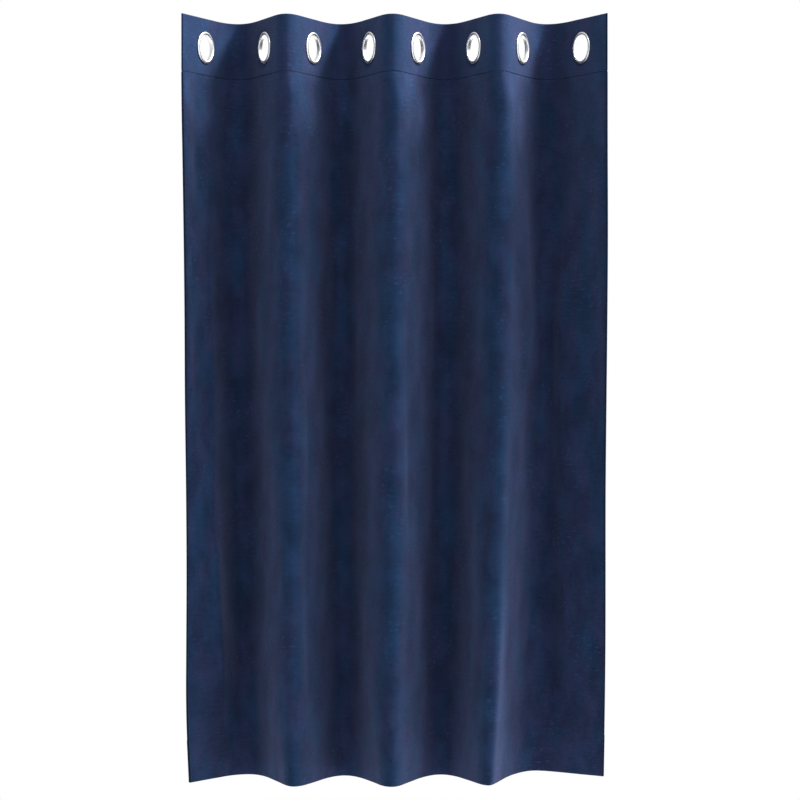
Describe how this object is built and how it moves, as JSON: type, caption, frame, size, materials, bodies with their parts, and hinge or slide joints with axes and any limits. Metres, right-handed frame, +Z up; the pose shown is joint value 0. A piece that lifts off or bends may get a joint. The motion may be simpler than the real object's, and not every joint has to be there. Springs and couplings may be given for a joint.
{
  "type": "eyelet curtain panel",
  "caption": "Hanging velvet curtain panel in deep soft folds, with a stitched heading strip and round metal eyelets for a rod.",
  "frame": {"origin": "middle of the top edge, on the line that a rod through the eyelets follows", "axes": "+Z up along the drop, +X along the rod to the right, -Y towards the front of the curtain"},
  "size_m": [0.759, 0.1834, 1.37],
  "materials": {
    "velvet": "cut pile velvet, matt with a soft sheen",
    "heading_velvet": "cut pile velvet over a stiff tape",
    "eyelet_metal": "satin nickel plate"
  },
  "bodies": {
    "root": {"panel": "velvet", "heading": "heading_velvet", "eyelet_front_1": "eyelet_metal", "eyelet_front_2": "eyelet_metal", "eyelet_front_3": "eyelet_metal", "eyelet_front_4": "eyelet_metal", "eyelet_front_5": "eyelet_metal", "eyelet_front_6": "eyelet_metal", "eyelet_front_7": "eyelet_metal", "eyelet_front_8": "eyelet_metal", "eyelet_back_1": "eyelet_metal", "eyelet_back_2": "eyelet_metal", "eyelet_back_3": "eyelet_metal", "eyelet_back_4": "eyelet_metal", "eyelet_back_5": "eyelet_metal", "eyelet_back_6": "eyelet_metal", "eyelet_back_7": "eyelet_metal", "eyelet_back_8": "eyelet_metal"}
  },
  "joints": []
}
